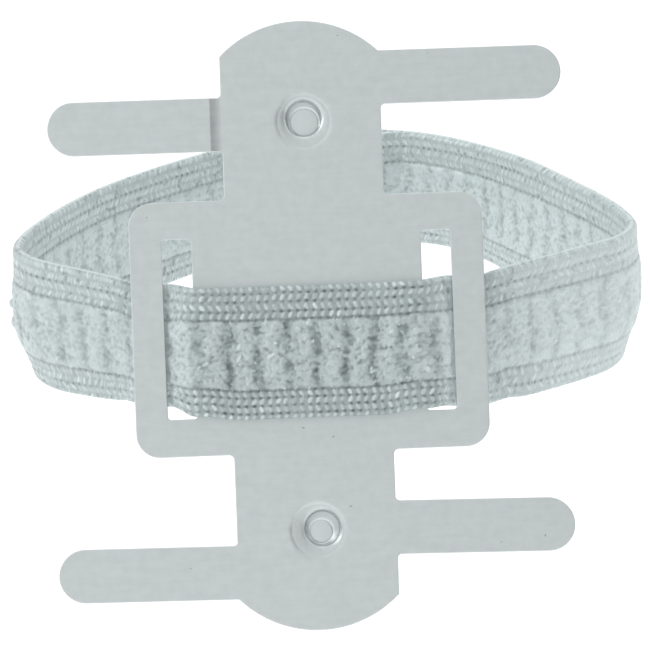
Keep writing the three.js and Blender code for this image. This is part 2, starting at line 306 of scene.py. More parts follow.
class Nodes:
    """A short way to write the node tree of a material or the world."""

    def __init__(self, owner, shader="Principled BSDF"):
        owner.use_nodes = True
        self.owner, self.tree = owner, owner.node_tree
        self.shader = self.tree.nodes[shader]

    def add(self, kind, settings=None, **inputs):
        node = self.tree.nodes.new("ShaderNode" + kind)
        for key, value in (settings or {}).items():
            setattr(node, key, value)
        self.plug_all(node, inputs)
        return node

    def plug(self, socket, value):
        if isinstance(value, bpy.types.NodeSocket):
            self.tree.links.new(value, socket)
        else:
            socket.default_value = value

    def plug_all(self, node, inputs):
        for key, value in inputs.items():
            self.plug(node.inputs[key.replace("_", " ")], value)

    def attribute(self, name, output="Fac"):
        return self.add("Attribute", {"attribute_name": name}).outputs[output]

    def math(self, operation, first, second):
        node = self.add("Math", {"operation": operation})
        self.plug(node.inputs[0], first)
        self.plug(node.inputs[1], second)
        return node.outputs[0]

    def spread(self, value, low, high, to_low=0.0, to_high=1.0, curve="LINEAR"):
        node = self.add("MapRange", {"interpolation_type": curve})
        for socket, number in zip(node.inputs, (value, low, high, to_low, to_high)):
            self.plug(socket, number)
        return node.outputs[0]

    def noise(self, vector, scale, stretch=(1, 1, 1), detail=3.0, roughness=0.55):
        mapping = self.add("Mapping", Vector=vector, Scale=stretch)
        return self.add("TexNoise", Vector=mapping.outputs[0], Scale=scale, Detail=detail,
                        Roughness=roughness).outputs["Fac"]

    def blend(self, share, first, second):
        node = self.add("Mix", {"data_type": "RGBA"})
        self.plug(node.inputs[0], share)
        self.plug(node.inputs[6], first)
        self.plug(node.inputs[7], second)
        return node.outputs[2]

    def bump(self, height, strength, distance):
        return self.add("Bump", Strength=strength, Distance=distance, Height=height).outputs[0]

    def surface(self, **inputs):
        """Sets or links the shader's own inputs and gives the material back."""
        self.plug_all(self.shader, inputs)
        return self.owner


def steel_material():
    n = Nodes(bpy.data.materials.new("satin_nickel"))
    flat = n.attribute("flat", "Vector")
    mottle = n.noise(flat, 0.9, detail=4)
    streaks = n.noise(flat, 1.0, stretch=(0.25, 1.8, 1), detail=3)
    grain = n.noise(flat, 9.0, detail=2)
    tone = n.math("ADD", n.math("MULTIPLY", mottle, 0.6), n.math("MULTIPLY", streaks, 0.4))
    colour = n.blend(n.spread(tone, 0.36, 0.64), STEEL.dark, STEEL.pale)
    pits = n.spread(n.noise(flat, 1.7, detail=0), *STEEL.pit_levels)
    colour = n.blend(pits, colour, STEEL.pit)
    roughness = n.spread(tone, 0.3, 0.7, *STEEL.roughness)
    relief = n.math("ADD", n.math("MULTIPLY", streaks, 0.3), n.math("MULTIPLY", grain, 0.5))
    return n.surface(Base_Color=colour, Roughness=roughness, Metallic=1.0,
                     Normal=n.bump(relief, 0.12, 0.00004))


def stud_material():
    n = Nodes(bpy.data.materials.new("drawn_nickel"))
    flat = n.attribute("flat", "Vector")
    mottle = n.noise(flat, 2.2, detail=4)
    colour = n.blend(n.spread(mottle, 0.35, 0.65), CUP.dark, CUP.pale)
    front = n.add("SeparateXYZ", Vector=flat).outputs["Z"]
    # Painted shade: the cup's wall is darkened down in the recess, fading out towards the mouth.
    wall = n.spread(front, *MOUTH_LEVELS, 0.45, 0.0)
    wall = n.math("MULTIPLY", n.spread(front, *SHADED_WALL_LEVELS), wall)
    colour = n.blend(wall, colour, CUP.wall)
    # Painted light: the cup's floor disc is made paler than the rest of the stud.
    colour = n.blend(n.spread(front, *LIT_DISC_LEVELS, 1.0, 0.0), colour, CUP.disc)
    roughness = n.spread(mottle, 0.3, 0.7, *CUP.roughness)
    return n.surface(Base_Color=colour, Roughness=roughness, Metallic=1.0,
                     Normal=n.bump(n.noise(flat, 8.0), 0.08, 0.00003))


def cloth_material():
    n = Nodes(bpy.data.materials.new("silver_weave"))
    flat = n.attribute("flat", "Vector")
    depth = n.attribute("depth")
    tone = n.attribute("tone")
    fibre = n.noise(flat, 4.5, stretch=(1, 1.2, 1), detail=5, roughness=0.75)
    lit = n.blend(n.spread(tone, 0.0, 1.2), WEAVE.dark, WEAVE.pale)
    lit = n.blend(n.spread(fibre, 0.35, 0.65, 0.0, 0.28), lit, WEAVE.fibre)
    # Painted shade: the colour falls to the hollow colour where the depth attribute is low.
    colour = n.blend(n.spread(depth, 0.1, 0.7), WEAVE.hollow, lit)
    roughness = n.spread(tone, 0.0, 1.0, *WEAVE.roughness)
    return n.surface(Base_Color=colour, Roughness=roughness, Metallic=WEAVE.metal,
                     Sheen_Weight=WEAVE.sheen, Normal=n.bump(fibre, 0.5, 0.00008))


def thread_material():
    n = Nodes(bpy.data.materials.new("seam_thread"))
    twist = n.noise(n.attribute("flat", "Vector"), 6.0, stretch=(1, 3, 1), detail=3)
    colour = n.blend(n.spread(twist, 0.3, 0.7), THREAD.dark, THREAD.pale)
    return n.surface(Base_Color=colour, Roughness=THREAD.roughness, Sheen_Weight=THREAD.sheen,
                     Normal=n.bump(twist, 0.5, 0.00006))


# ---------- mesh helpers

def new_piece(name, mesh, material):
    piece = in_scene(name, mesh)
    mesh.materials.append(material)
    return piece


def store(mesh, name, values):
    """Keeps one number or one vector a vertex as a mesh attribute."""
    kind, field = ("FLOAT_VECTOR", "vector") if np.ndim(values) == 2 else ("FLOAT", "value")
    attribute = mesh.attributes.new(name, kind, "POINT")
    attribute.data.foreach_set(field, np.asarray(values, np.float32).ravel())


def move_to(mesh, places):
    """Moves a mesh's vertices to places in millimetres."""
    mesh.vertices.foreach_set("co", (places * MM).astype(np.float32).ravel())


def strip_faces(start, rings, count):
    """Quads between closed rings of count points, from one vertex number on."""
    for low in range(start, start + (rings - 1) * count, count):
        for i in range(count):
            j = (i + 1) % count
            yield low + i, low + j, low + count + j, low + count + i


def outward_mesh(name, points, faces):
    """A mesh of closed shells that all face outwards."""
    mesh = bpy.data.meshes.new(name)
    mesh.from_pydata(points, [], faces)
    bm = bmesh.new()
    bm.from_mesh(mesh)
    bmesh.ops.recalc_face_normals(bm, faces=bm.faces)
    bm.to_mesh(mesh)
    bm.free()
    return mesh


def smooth_mesh(mesh, limit=35):
    mesh.shade_smooth()
    mesh.set_sharp_from_angle(angle=radians(limit))


# ---------- the stamping

# Steps in the small fillets, a tab's tip, a lobe and a full turn.
FILLET_STEPS, TIP_STEPS, LOBE_STEPS, TURN_STEPS = 6, 28, 40, 72
EDGE_STEPS, TAB_SLICES = 6, 15
# Radius and height of a pressed dish, from the front face down and back along its rear.
DISH_EDGE = 4.1
DISH_PROFILE = (
    (DISH_EDGE, HALF_SHEET), (3.65, HALF_SHEET), (3.5, 0.245), (3.36, 0.225), (3.24, 0.195),
    (3.12, 0.16), (3.0, 0.13), (2.9, 0.11), (2.82, 0.08), (2.8, 0.03), (2.8, -0.6), (2.84, -0.66),
    (3.1, -0.62), (3.35, -0.48), (3.6, -0.31), (3.75, -0.26), (3.85, -HALF_SHEET),
    (DISH_EDGE, -HALF_SHEET),
)


def arc(x, up, radius, start, end, steps=12):
    """Points on an arc, in degrees, both ends included."""
    angle = np.radians(np.linspace(start, end, steps + 1))
    return np.stack([x + radius * np.cos(angle), up + radius * np.sin(angle)], axis=-1)


def tab_outline(side, up, reach_in):
    """A tab's outline from its lower root to its upper one, seen pointing right, then mirrored."""
    half, fillet = TAB.width / 2, TAB.fillet
    parts = [arc(NECK + fillet, up - half - fillet, fillet, 180, 90, FILLET_STEPS),
             arc(TAB.tip - half, up, half, -90, 90, TIP_STEPS)]
    if reach_in:
        parts.append(arc(NECK + fillet, up + half + fillet, fillet, 270, 180, FILLET_STEPS))
    points = np.vstack(parts)
    return points if side > 0 else np.flipud(points * (-1, 1))


def half_outline(level):
    """The stamping's edge from the right bar over a lobe to the left one, both halves as if upper."""
    corner, fillet = PLATE.corner, PLATE.fillet
    radius, middle = PLATE.lobe_radius, LOBE_UP[level]
    tab_top = OUTER_UP[level] + TAB.width / 2
    lobe_start = degrees(asin((tab_top - middle) / radius))
    lobe_end = 180 - degrees(acos(NECK / radius))
    return np.vstack([
        arc(PLATE_RIGHT - corner, PLATE_TOP - corner, corner, 0, 90),
        arc(NECK + fillet, PLATE_TOP + fillet, fillet, 270, 180, FILLET_STEPS),
        tab_outline(1, OUTER_UP[level], False),
        arc(0, middle, radius, lobe_start, lobe_end, LOBE_STEPS),
        tab_outline(-1, INNER_UP[level], True),
        arc(-NECK - fillet, PLATE_TOP + fillet, fillet, 0, -90, FILLET_STEPS),
        arc(-PLATE_RIGHT + corner, PLATE_TOP - corner, corner, 90, 180),
    ])


def slot_outline(side):
    x = side * (SLOT.inner + SLOT.width / 2)
    half_x = SLOT.width / 2 - SLOT.corner
    half_up = SLOT.height / 2 - SLOT.corner
    signs = ((1, 1), (-1, 1), (-1, -1), (1, -1))
    return np.vstack([arc(x + sx * half_x, sy * half_up, SLOT.corner, 90 * k, 90 * k + 90, FILLET_STEPS)
                      for k, (sx, sy) in enumerate(signs)])


def snap_circle(level, radius):
    return arc(*SNAP_PLACE[level], radius, 0, 360, TURN_STEPS)[:-1]


def inset(outline, distance):
    """Moves a closed anticlockwise outline inwards, keeping its corners mitred."""
    before = unit(outline - np.roll(outline, 1, axis=0))
    after = unit(np.roll(outline, -1, axis=0) - outline)
    quarter_turn = np.array([[0, 1], [-1, 0]])
    inward = unit((before + after) @ quarter_turn)
    share = np.maximum((inward * (after @ quarter_turn)).sum(1), 0.5)
    return outline + inward * (distance / share)[:, None]


def inside(points, outline):
    """Which points lie inside a closed outline."""
    x, y = points[:, 0, None], points[:, 1, None]
    ax, ay = outline[:, 0], outline[:, 1]
    bx, by = np.roll(ax, -1), np.roll(ay, -1)
    with np.errstate(divide="ignore", invalid="ignore"):
        crossing = ((ay > y) != (by > y)) & (x < (bx - ax) * (y - ay) / (by - ay) + ax)
    return crossing.sum(axis=1) % 2 == 1


def edge_profile():
    """Distance in from the edge and height through the sheet, from its front to its back."""
    radius = PLATE.edge
    quarter = np.radians(np.linspace(90, 0, EDGE_STEPS))
    inner = HALF_SHEET - radius
    steps = [(radius + PLATE.support, HALF_SHEET)]
    steps += [(radius - radius * cos(a), inner + radius * sin(a)) for a in quarter]
    return steps + [(d, -h) for d, h in reversed(steps)]


class Sheet:
    """Collects the stamping's vertices and faces in its own flat frame: x, up, front."""

    def __init__(self):
        self.points, self.faces = [], []

    def ring_strip(self, rings):
        """Joins closed rings of equal length, each an outline and its height, to the next."""
        rings = [np.column_stack([ring, np.full(len(ring), front)]) for ring, front in rings]
        self.faces.extend(strip_faces(len(self.points), len(rings), len(rings[0])))
        for ring in rings:
            self.points.extend(map(tuple, ring))

    def flat_face(self, outer, holes, front):
        """Fills between an outline and its holes at one height, to face away from the sheet."""
        loops = [outer] + holes
        points = [Vector(p) for loop in loops for p in loop]
        edges, first = [], 0
        for loop in loops:
            count = len(loop)
            edges += [(first + i, first + (i + 1) % count) for i in range(count)]
            first += count
        found, _, triangles, *_ = delaunay_2d_cdt(points, edges, [], 0, 1e-7)
        found = np.array([tuple(p) for p in found])
        middles = found[np.array(triangles)].mean(axis=1)
        keep = inside(middles, outer)
        for hole in holes:
            keep &= ~inside(middles, hole)
        start = len(self.points)
        self.points.extend((x, up, front) for x, up in found)
        for triangle, good in zip(triangles, keep):
            if good:
                corners = [start + i for i in triangle]
                self.faces.append(corners if front > 0 else corners[::-1])


def make_stamping():
    """One closed bmesh of the plate with its four tabs, still flat."""
    outline = np.vstack([half_outline(1), -half_outline(-1)])
    slots = [slot_outline(side) for side in (1, -1)]
    sheet = Sheet()
    profile = edge_profile()
    sheet.ring_strip([(inset(outline, d), h) for d, h in profile])
    for slot in slots:
        sheet.ring_strip([(np.flipud(inset(slot, -d)), h) for d, h in profile])
    for level in (1, -1):
        sheet.ring_strip([(np.flipud(snap_circle(level, radius)), h) for radius, h in DISH_PROFILE])
    reach = profile[0][0]
    holes = [inset(slot, -reach) for slot in slots]
    holes += [snap_circle(level, DISH_EDGE) for level in (1, -1)]
    for front in (HALF_SHEET, -HALF_SHEET):
        sheet.flat_face(inset(outline, reach), holes, front)
    mesh = bpy.data.meshes.new("stamping")
    mesh.from_pydata(sheet.points, [], sheet.faces)
    bm = bmesh.new()
    bm.from_mesh(mesh)
    bpy.data.meshes.remove(mesh)
    bmesh.ops.remove_doubles(bm, verts=bm.verts, dist=1e-4)
    bmesh.ops.recalc_face_normals(bm, faces=bm.faces)
    return bm


def slice_tabs(stamping):
    """Cuts the tabs' roots across, where the upper left one steps forwards."""
    for side in (1, -1):
        for x in np.linspace(NECK, JOGGLE.end + 0.1, TAB_SLICES):
            faces = [f for f in stamping.faces
                     if abs(f.calc_center_median().y) > PLATE_TOP + PLATE.fillet / 2
                     or any(abs(v.co.y) > PLATE_TOP + PLATE.fillet for v in f.verts)]
            verts = list({v for f in faces for v in f.verts})
            edges = list({e for f in faces for e in f.edges})
            bmesh.ops.bisect_plane(stamping, geom=verts + edges + faces, dist=1e-5,
                                   plane_co=(side * x, 0, 0), plane_no=(1, 0, 0))


def tab_under(point):
    """The tab that a point of the stamping lies on, if any."""
    for name, (side, level, *_) in TABS.items():
        if point.x * side > NECK and point.y * level > PLATE_TOP + PLATE.fillet:
            return name
    return None


def bend_tab(name, flat):
    """A tab's slight slope, and the upper left one's small step forwards just outside its root."""
    slope, longer = TABS[name][2:]
    out = np.abs(flat[:, 0])
    beyond = np.maximum(out - NECK, 0)
    flat[:, 0] += np.sign(flat[:, 0]) * longer * beyond / (TAB.tip - NECK)
    flat[:, 1] += slope * beyond
    if name == "tab_upper_left":
        step = (out - JOGGLE.start) / (JOGGLE.end - JOGGLE.start)
        flat[:, 2] += JOGGLE.rise * np.clip(step, 0, 1) ** JOGGLE.sharpness
        flat[:, 2] += JOGGLE.tilt * np.maximum(out - JOGGLE.end, 0)


def sheet_piece(name, stamping, tab, material):
    """One tab, or the plate without its tabs when tab is None, closed and set on the buckle."""
    part = stamping.copy()
    part.faces.ensure_lookup_table()
    drop = [f for f in part.faces if tab_under(f.calc_center_median()) != tab]
    bmesh.ops.delete(part, geom=drop, context="FACES")
    bmesh.ops.holes_fill(part, edges=[e for e in part.edges if e.is_boundary], sides=0)
    mesh = bpy.data.meshes.new(name)
    part.to_mesh(mesh)
    part.free()
    flat = np.array([v.co for v in mesh.vertices])
    store(mesh, "flat", flat)
    if tab:
        bend_tab(tab, flat)
    move_to(mesh, on_plate(*flat.T))
    smooth_mesh(mesh)
    return new_piece(name, mesh, material)


def make_buckle(material):
    stamping = make_stamping()
    slice_tabs(stamping)
    plate = sheet_piece("buckle_sheet", stamping, None, material)
    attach(plate, "buckle")
    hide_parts("buckle_plate")
    for name, (side, *_) in TABS.items():
        tab = sheet_piece(name + "_sheet", stamping, name, material)
        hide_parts(name)
        ends = [Vector(on_plate(side * x, 0)) * MM for x in (NECK, NECK + TAB.bend)]
        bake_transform(tab)
    stamping.free()


# ---------- studs and rings

# Each stud is set a little crooked: its mouth's shift, its cup floor's shift and that floor's radius.
STUD_SET = {"upper": ((0.0, 0.36), (0.1, -0.08), 1.62), "lower": ((0.5, 0.2), (0.36, -0.2), 1.3)}
# Rings of a stud, open at the front: radius, height, and their shares of the mouth's and the floor's
# shifts. The cup floor's radii are counted from its edge. Then come the cup, the flange and the barrel.
CUP_LEVEL = -0.78
CUP_FLOOR = ((-0.14, CUP_LEVEL, 0, 1), (0, -0.80, 0, 1), (0.07, -0.85, 0, 1), (0.16, -0.82, 0, 1),
             (0.24, -0.74, 0.1, 0.9))
STUD_BODY = (
    (1.97, -0.55, 0.6, 0.4), (2.04, -0.36, 1, 0), (2.12, -0.2, 1, 0), (2.24, -0.07, 1, 0),
    (2.4, 0.01, 0.8, 0), (2.62, 0.075, 0.4, 0), (2.85, 0.12, 0.05, 0), (2.98, 0.135, 0, 0),
    (3.05, 0.138, 0, 0), (3.1, 0.11, 0, 0), (3.0, 0.05, 0, 0), (2.45, -0.12, 0.7, 0),
    (2.27, -0.4, 1, 0), (2.22, -1.0, 1, 0), (2.16, -2.3, 1, 0), (2.2, -2.5, 1, 0), (2.28, -2.75, 1, 0),
    (2.28, -3.2, 1, 0), (2.18, -3.45, 1, 0), (1.95, -3.58, 1, 0), (1.6, -3.62, 1, 0), (0, -3.62, 1, 0),
)
RING_PROFILE = ((2.42, -0.74), (2.42, -1.2), (2.5, -1.28), (3.25, -1.28), (3.4, -1.2), (3.46, -1.05),
                (3.44, -0.85), (3.36, -0.76), (2.5, -0.72))


def turned(name, profile, level, material):
    """A turned piece on the plate's normal, from the radius, height and shift of every ring."""
    angle = np.linspace(0, 2 * pi, TURN_STEPS, endpoint=False)
    points, faces, first = [], [], []
    for radius, front, shift in profile:
        first.append(len(points))
        ring = [(radius * cos(a), radius * sin(a)) for a in angle] if radius else [(0.0, 0.0)]
        points += [(x + shift[0], y + shift[1], front) for x, y in ring]
    closed = profile[0][0] == 0 and profile[-1][0] == 0
    following = list(range(1, len(profile))) + ([] if closed else [0])
    for a, b in enumerate(following):
        for i in range(TURN_STEPS):
            j = (i + 1) % TURN_STEPS
            low = [first[a] + i, first[a] + j] if profile[a][0] else [first[a]]
            high = [first[b] + j, first[b] + i] if profile[b][0] else [first[b]]
            faces.append(low + high)
    mesh = outward_mesh(name, points, faces)
    flat = np.array(points)
    store(mesh, "flat", flat)
    move_to(mesh, on_plate(*(flat + (*SNAP_PLACE[level], 0)).T))
    smooth_mesh(mesh, 50)
    return new_piece(name, mesh, material)


def stud_profile(mouth, floor, disc):
    """The rings of a drawn stud whose mouth and cup floor are each a little off centre."""
    rings = [(0, CUP_LEVEL, 0, 1)]
    rings += [(disc + beyond, *rest) for beyond, *rest in CUP_FLOOR]
    rings += STUD_BODY
    return [(radius, front, [m * mouth_share + f * floor_share for m, f in zip(mouth, floor)])
            for radius, front, mouth_share, floor_share in rings]


def make_studs(material):
    for level, name in ((1, "upper"), (-1, "lower")):
        mouth = STUD_SET[name][0]
        for kind, profile in (("stud_", stud_profile(*STUD_SET[name])),
                              ("ring_", [(*ring, mouth) for ring in RING_PROFILE])):
            piece = turned(kind + name, profile, level, material)
            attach(piece, "buckle")
            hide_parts("snap_" + kind + name)


# ---------- the woven band

HALF_THICK = BAND.thickness / 2
FACE_HALF = BAND.width / 2 - HALF_THICK
CAP = pi * HALF_THICK
GIRTH = 4 * FACE_HALF + 2 * CAP
RIM = FACE_HALF + CAP / 2
ACROSS = GIRTH / COLUMNS
CLOTH_LENGTH = LOOP_LENGTH + LAP_LENGTH
ROWS = int(round(CLOTH_LENGTH / STEP_ALONG))
ALONG = CLOTH_LENGTH / ROWS
# Where the band lies relaxed over the bridge, by length from the middle of the front.
RELAXED = (12, 17)
# Below, a pair is a measure of the stretched band and what its relaxed part adds to it.
# The furrows after the stitch rows, from the rim inwards, and the specks of the side borders, both laid
# as painted shade in the cloth's shade field.
BED = 0.08
FURROWS = ((0.04, 0.46), (0.39, 0.14), (0.04, 0.46), (0.33, 0.14))
FURROW = Group(floor=(0.12, 0.06), width=0.2, sharpness=1.7, drift=0.2, ripple=0.5)
PEPPER = Group(strength=(0.38, -0.7 * 0.38), grain=0.17, levels=(0.9, 2.4))
# A few stitches and pile loops are paler silver threads that also carry a painted glint.
STITCH = Group(length=(0.52, -0.10), width=(0.20, 0.02), lean=radians(60), turn=(0.18, -0.08),
               slip=0.04, stray=0.03, bright=0.10, dull=0.14)
STITCH_PEAK = Group(height=(0.06, 0.07), spread=0.15, weft=0.75, main=0.35)
# The stitches between the main ones are painted darker, as shade between the raised main stitches.
STITCH_TONE = Group(plain=(0.62, -0.26), main=(0.12, 0.18), spread=0.09, relaxed_spread=0.07,
                    dull=(0.30, -0.30), bright=(0.12, 0.28))
RIM_STITCH = Group(length=0.36, width=0.2, peak=0.06, tone=(1.0, -0.45))
# The pile's ground: its ribs' grooves, its loops' crinkle and broader clumps, and its tones, which are
# painted shade: darker in the grooves and on the low spots of the crinkle and the clumps.
GROOVE = Group(width=0.7, depth=(0.11, 0.03), strength=0.95, spread=0.22, tone=(0.17, 0.30))
PILE = Group(ground=0.30, least=0.02, rough=(0.65, 0.35), crinkle=0.055, clump=0.025, wander=0.22,
             edge=(-0.2, 0.7))
PILE_TONE = Group(plain=0.66, clump=0.03, crinkle=0.07, bright=(0.12, 0.4), bright_share=0.05)
# Single loops strewn over the ground: how many a square millimetre, length, width and rise.
LOOPS = ((0.6, 0.42, 0.17, 0.04), (1.8, 0.30, 0.15, 0.03))
# A few loops of the outer pile pulled out at the left: station, height, size and rise.
TUFTS = ((-44.0, 0.4, 0.8, 0.55), (-42.8, -1.6, 0.9, 0.40), (-45.5, -0.6, 0.7, 0.35))
# How dark the painted shade in the hollows is, from how far the relief stands over its near and wide
# surroundings.
HOLLOW_SHADE = Group(plain=0.66, near=0.26, wide=0.9, least=0.12, contrast=(0.7, 0.3), calm=0.4)
# Painted light: the tone is raised on the band's inner face, on its right side and in the slots, as if
# more light fell there.
CLOTH_TONE = Group(plain=0.74, right=0.06, pale=0.22, relaxed=-0.05, specks=(0.03, 0.03))
RIGHT_SIDE = Group(start=18, full=34, hold=55, end=100)
SLOT_LIGHT = Group(start=14, full=17, hold=19, end=24, left=0.4, right=2.0)
OUTER_FACE = (-0.4, 0.4)


def relaxed(pair, slack):
    return pair[0] + pair[1] * slack


def section(around):
    """Out, height and outward direction of the band's bare section at a length round it."""
    around = np.mod(around, GIRTH)
    turn = (np.clip(around - FACE_HALF, 0, CAP)
            + np.clip(around - 3 * FACE_HALF - CAP, 0, CAP)) / HALF_THICK
    height = np.clip(around, 0, FACE_HALF) - np.clip(around - FACE_HALF - CAP, 0, 2 * FACE_HALF)
    height += np.clip(around - 3 * FACE_HALF - 2 * CAP, 0, FACE_HALF)
    return HALF_THICK * np.cos(turn), height + HALF_THICK * np.sin(turn), np.cos(turn), np.sin(turn)


class Cloth:
    """The whole band laid flat: relief, tone and shade on a grid of rows along and columns round it."""

    def __init__(self, seed):
        self.random = np.random.default_rng(seed)
        self.along = np.arange(ROWS + 1)[:, None] * ALONG
        self.around = np.arange(COLUMNS)[None, :] * ACROSS
        self.slack = slack_at(LAP_START + self.along)
        self.relief = np.zeros((ROWS + 1, COLUMNS))
        self.tone = np.full((ROWS + 1, COLUMNS), 0.5)
        self.shade = np.zeros((ROWS + 1, COLUMNS))

    def grain(self, along, around):
        """A smooth random field of the given grain size, with a standard deviation of one."""
        field = soften(self.random.normal(size=self.relief.shape), along, around)
        return field / field.std()

    def away(self, place):
        """The distance round the band from a place."""
        gap = np.abs(self.around - place % GIRTH)
        return np.minimum(gap, GIRTH - gap)

    def stamp(self, along, around, length, width, angle, peak, tone, base=0.0):
        """Lays one rounded stitch on the cloth where it stands above what is there."""
        reach = max(length, width)
        i0 = max(int((along - reach) / ALONG), 0)
        i1 = min(int((along + reach) / ALONG) + 2, ROWS + 1)
        j0 = int((around - reach) // ACROSS)
        j1 = int((around + reach) // ACROSS) + 2
        x = (np.arange(i0, i1) * ALONG - along)[:, None]
        y = (np.arange(j0, j1) * ACROSS - around)[None, :]
        c, s = cos(angle), sin(angle)
        room = 1 - ((x * c + y * s) / length) ** 2 - ((y * c - x * s) / width) ** 2
        window = np.ix_(np.arange(i0, i1), np.arange(j0, j1) % COLUMNS)
        rise = np.where(room > 0, base + peak * np.sqrt(np.maximum(room, 0)), -1)
        higher = rise > self.relief[window]
        self.relief[window] = np.where(higher, rise, self.relief[window])
        self.tone[window] = np.where(higher, tone, self.tone[window])


def soften(field, along, around):
    """Blurs a field of the cloth's grid over a length along it and a length round it."""
    slow = np.fft.fftfreq(field.shape[0], ALONG)[:, None] * along
    fast = np.fft.rfftfreq(field.shape[1], ACROSS)[None, :] * around
    waves = np.fft.rfft2(field) * np.exp(-2 * pi ** 2 * (slow ** 2 + fast ** 2))
    return np.fft.irfft2(waves, s=field.shape)


def slack_at(station):
    """1 where the band lies relaxed over the bridge, 0 where it is stretched round the wrist."""
    return 1 - smoothstep(np.abs(from_front(station)), *RELAXED)


def border_rows(middle, side):
    """The place round the band of every stitch row on one face, from each rim inwards."""
    for edge in (1, -1):
        scale = 1 if edge * side > 0 else LOWER_BORDER
        yield edge, [middle + edge * (RIM - distance * scale) for distance in ROW_FROM_RIM]


def lay_border_bed(cloth, middle, side):
    """The ground under the stitch rows, with a dotted furrow after each, and painted shade in the
    furrows and specks.
    """
    ripple = 1 + FURROW.ripple * cloth.grain(0.5, 0.1)
    specks = smoothstep(cloth.grain(PEPPER.grain, PEPPER.grain), *PEPPER.levels)
    pepper = specks * relaxed(PEPPER.strength, cloth.slack)
    floor = relaxed(FURROW.floor, cloth.slack)
    for edge, rows in border_rows(middle, side):
        half_space = (rows[1] - rows[0]) / 2
        width = abs(rows[-1] + half_space - middle - edge * RIM)
        from_rim = cloth.away(middle + edge * RIM)
        inward = wrapped(edge * (middle + edge * RIM - cloth.around), GIRTH)
        bed = BED * (1 - smoothstep(from_rim, width - 0.2, width + 0.1)) * np.ones_like(cloth.along)
        for k, row in enumerate(rows):
            turn = 2 * pi * (cloth.along + FURROW.drift * k) / STITCH_PITCH
            dots = (0.5 + 0.5 * np.cos(turn)) ** FURROW.sharpness
            hollow = np.exp(-(cloth.away(row + half_space) / FURROW.width) ** 2)
            furrow = relaxed(FURROWS[k], cloth.slack) * hollow * (floor + (1 - floor) * dots)
            bed -= BED * furrow
            # Painted shade: a dotted dark line along each furrow.
            cloth.shade = np.maximum(cloth.shade, furrow * ripple)
        near = (inward < width + 0.1) & (inward > -HALF_THICK)
        # Painted shade: small dark specks over the border.
        cloth.shade = np.where(near, np.maximum(cloth.shade, pepper), cloth.shade)
        cloth.relief = np.where(near & (bed > cloth.relief), bed, cloth.relief)


def lay_stitch(cloth, along, around, lean, main, marks, bright, dull):
    """One stitch of a border row: a main one or the shorter one between two of them."""
    slack = slack_at(LAP_START + along)
    turn = lean * STITCH.lean + relaxed(STITCH.turn, slack) * marks[3]
    # Painted shade: the lower stitches between the main ones get a darker tone.
    tone = relaxed(STITCH_TONE.plain, slack) + relaxed(STITCH_TONE.main, slack) * main
    tone += STITCH_TONE.spread * marks[4] + STITCH_TONE.relaxed_spread * slack * marks[1]
    # Painted glint: a few main stitches are made paler still.
    tone += relaxed(STITCH_TONE.bright, slack) * bright * main - relaxed(STITCH_TONE.dull, slack) * dull
    peak = relaxed(STITCH_PEAK.height, slack * main) * (1 + STITCH_PEAK.spread * marks[2])
    peak *= STITCH_PEAK.weft + STITCH_PEAK.main * main
    cloth.stamp(along, around + STITCH.stray * marks[1], relaxed(STITCH.length, slack),
                relaxed(STITCH.width, slack * main), turn, peak, tone, BED - 0.02)


def stitch_border(cloth, middle, side):
    """Chains of slanted stitches: two rows that lean against each other make one chain."""
    half_pitch = STITCH_PITCH / 2
    count = int(CLOTH_LENGTH / half_pitch) + 1
    for edge, rows in border_rows(middle, side):
        for row, around in enumerate(rows):
            lean = -1 if (row % 2 == 0) == (edge > 0) else 1
            marks = cloth.random.normal(0, 1, (count, 5))
            bright = cloth.random.uniform(0, 1, count) < STITCH.bright
            dull = cloth.random.uniform(0, 1, count) < STITCH.dull
            for k in range(count):
                along = (k + 0.5) * half_pitch + STITCH.slip * marks[k, 0]
                lay_stitch(cloth, along, around, lean, k % 2, marks[k], bright[k], dull[k])
        for k in range(count - 1):
            tone = relaxed(RIM_STITCH.tone, slack_at(LAP_START + k * half_pitch))
            cloth.stamp(k * half_pitch, middle + edge * RIM, RIM_STITCH.length, RIM_STITCH.width,
                        0.0, RIM_STITCH.peak, tone, BED)


def pile_ground(cloth, height, low, high):
    """Relief and tone of the looped middle: soft ribs across the band, crinkled by the loops, with
    painted shade in the grooves and low spots.
    """
    edge = smoothstep(np.minimum(height - low, high - height), *PILE.edge)
    phase = (cloth.along + PILE.wander * cloth.grain(2.5, 0.8)) / RIB_PITCH
    off_groove = np.abs(phase - np.round(phase)) * RIB_PITCH
    strength = np.clip(GROOVE.strength + GROOVE.spread * cloth.grain(0.5, 0.5), 0.3, 1.4)
    groove = np.exp(-(off_groove / GROOVE.width) ** 2) * strength
    curl = 0.8 - np.abs(cloth.grain(0.27, 0.25))
    crinkle = 0.6 * cloth.grain(0.15, 0.14) + 0.75 * curl
    clump = cloth.grain(0.45, 0.35)
    rough = relaxed(PILE.rough, cloth.slack) * (PILE.crinkle * crinkle + PILE.clump * clump)
    ground = PILE.ground - relaxed(GROOVE.depth, cloth.slack) * groove + rough
    # Painted shade: the tone darkens in the grooves and follows the crinkle and the clumps, paler where
    # they stand higher.
    tone = PILE_TONE.plain - groove * relaxed(GROOVE.tone, cloth.slack)
    tone += PILE_TONE.clump * clump + PILE_TONE.crinkle * crinkle
    return np.maximum(ground, PILE.least) * edge, tone


